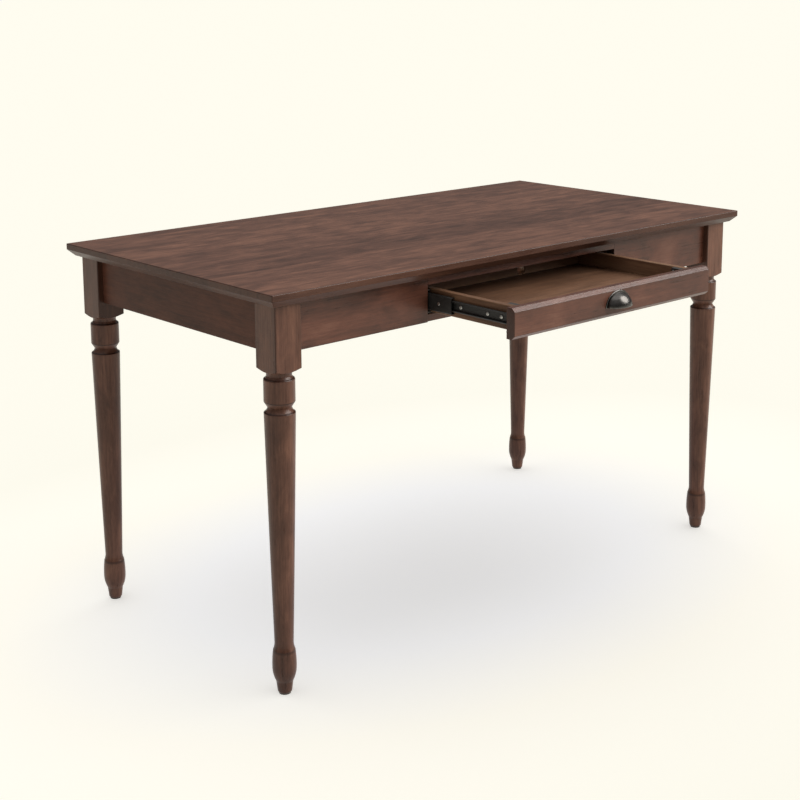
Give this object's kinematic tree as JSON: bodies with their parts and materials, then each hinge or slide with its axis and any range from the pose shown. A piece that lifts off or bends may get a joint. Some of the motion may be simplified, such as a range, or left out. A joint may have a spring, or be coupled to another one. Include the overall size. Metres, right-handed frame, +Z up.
{
  "type": "writing desk",
  "caption": "Open writing desk with turned legs, a chamfered top, plain aprons and a shallow drop-front drawer with a cup pull on telescopic slides.",
  "frame": {"origin": "on the floor under the centre of the top", "axes": "+X to the sitter's right, -Y towards the sitter, +Z up"},
  "size_m": [1.337, 0.9127, 0.762],
  "materials": {
    "stained_walnut": "satin dark stain",
    "drawer_wood": "matt stain",
    "black_steel": "black coating",
    "zinc_steel": "zinc plated",
    "dark_pewter": "dark pewter",
    "catch_plastic": "matt",
    "glide_nylon": "matt",
    "pad_rubber": "matt"
  },
  "bodies": {
    "desk": {"top_panel": "stained_walnut", "leg_front_left": "stained_walnut", "leg_front_right": "stained_walnut", "leg_rear_left": "stained_walnut", "leg_rear_right": "stained_walnut", "apron_left": "stained_walnut", "apron_right": "stained_walnut", "apron_rear": "stained_walnut", "front_panel_left": "stained_walnut", "front_panel_right": "stained_walnut", "front_upper_rail": "stained_walnut", "front_lower_rail": "stained_walnut", "runner_left": "drawer_wood", "runner_right": "drawer_wood", "corner_brace_front_left": "drawer_wood", "corner_brace_front_right": "drawer_wood", "corner_brace_rear_left": "drawer_wood", "corner_brace_rear_right": "drawer_wood", "top_buttons": "drawer_wood", "slide_cabinet_left": "black_steel", "slide_cabinet_right": "black_steel", "corner_bolts": "zinc_steel", "corner_washers": "zinc_steel", "corner_nuts": "zinc_steel", "button_screws": "zinc_steel", "cabinet_slide_screws": "zinc_steel", "foot_glides": "glide_nylon"},
    "middle_left": {"slide_middle_left": "black_steel"},
    "outer_cage_left": {"ball_cage_outer_left": "zinc_steel"},
    "inner_cage_left": {"ball_cage_inner_left": "zinc_steel"},
    "middle_right": {"slide_middle_right": "black_steel"},
    "outer_cage_right": {"ball_cage_outer_right": "zinc_steel"},
    "inner_cage_right": {"ball_cage_inner_right": "zinc_steel"},
    "drawer": {"drawer_side_left": "drawer_wood", "drawer_side_right": "drawer_wood", "drawer_back": "drawer_wood", "drawer_bottom": "drawer_wood", "drawer_front_rail": "drawer_wood", "slide_drawer_left": "black_steel", "slide_drawer_right": "black_steel", "drawer_slide_screws": "zinc_steel", "hinge_fixed_leaf_left": "zinc_steel", "hinge_fixed_leaf_right": "zinc_steel", "hinge_pins": "zinc_steel", "hinge_drawer_screws": "zinc_steel", "catch_left": "catch_plastic", "catch_right": "catch_plastic", "catch_magnets": "zinc_steel", "catch_screws": "zinc_steel"},
    "drop_front": {"drawer_front": "stained_walnut", "cup_pull": "dark_pewter", "pull_screws": "zinc_steel", "hinge_moving_leaf_left": "zinc_steel", "hinge_moving_leaf_right": "zinc_steel", "hinge_front_screws": "zinc_steel", "catch_strikes": "zinc_steel", "bumper_pads": "pad_rubber"}
  },
  "joints": [
    {"name": "drawer_slide", "type": "slide", "parent": "desk", "child": "drawer", "axis": [0, -1, 0], "range_m": [-0.216, 0.084]},
    {"name": "middle_left_slide", "type": "slide", "parent": "desk", "child": "middle_left", "axis": [0, -1, 0], "range_m": [-0.108, 0.042]},
    {"name": "outer_cage_left_slide", "type": "slide", "parent": "desk", "child": "outer_cage_left", "axis": [0, -1, 0], "range_m": [-0.054, 0.021]},
    {"name": "inner_cage_left_slide", "type": "slide", "parent": "desk", "child": "inner_cage_left", "axis": [0, -1, 0], "range_m": [-0.162, 0.063]},
    {"name": "middle_right_slide", "type": "slide", "parent": "desk", "child": "middle_right", "axis": [0, -1, 0], "range_m": [-0.108, 0.042]},
    {"name": "outer_cage_right_slide", "type": "slide", "parent": "desk", "child": "outer_cage_right", "axis": [0, -1, 0], "range_m": [-0.054, 0.021]},
    {"name": "inner_cage_right_slide", "type": "slide", "parent": "desk", "child": "inner_cage_right", "axis": [0, -1, 0], "range_m": [-0.162, 0.063]},
    {"name": "drop_front_hinge", "type": "hinge", "parent": "drawer", "child": "drop_front", "pos_m": [0, -0.53125, 0.6595], "axis": [1, 0, 0], "range_deg": [0, 90]}
  ],
  "couplings": [
    {"joint": "middle_left_slide", "follows": "drawer_slide", "ratio": 0.5},
    {"joint": "outer_cage_left_slide", "follows": "drawer_slide", "ratio": 0.25},
    {"joint": "inner_cage_left_slide", "follows": "drawer_slide", "ratio": 0.75},
    {"joint": "middle_right_slide", "follows": "drawer_slide", "ratio": 0.5},
    {"joint": "outer_cage_right_slide", "follows": "drawer_slide", "ratio": 0.25},
    {"joint": "inner_cage_right_slide", "follows": "drawer_slide", "ratio": 0.75}
  ]
}
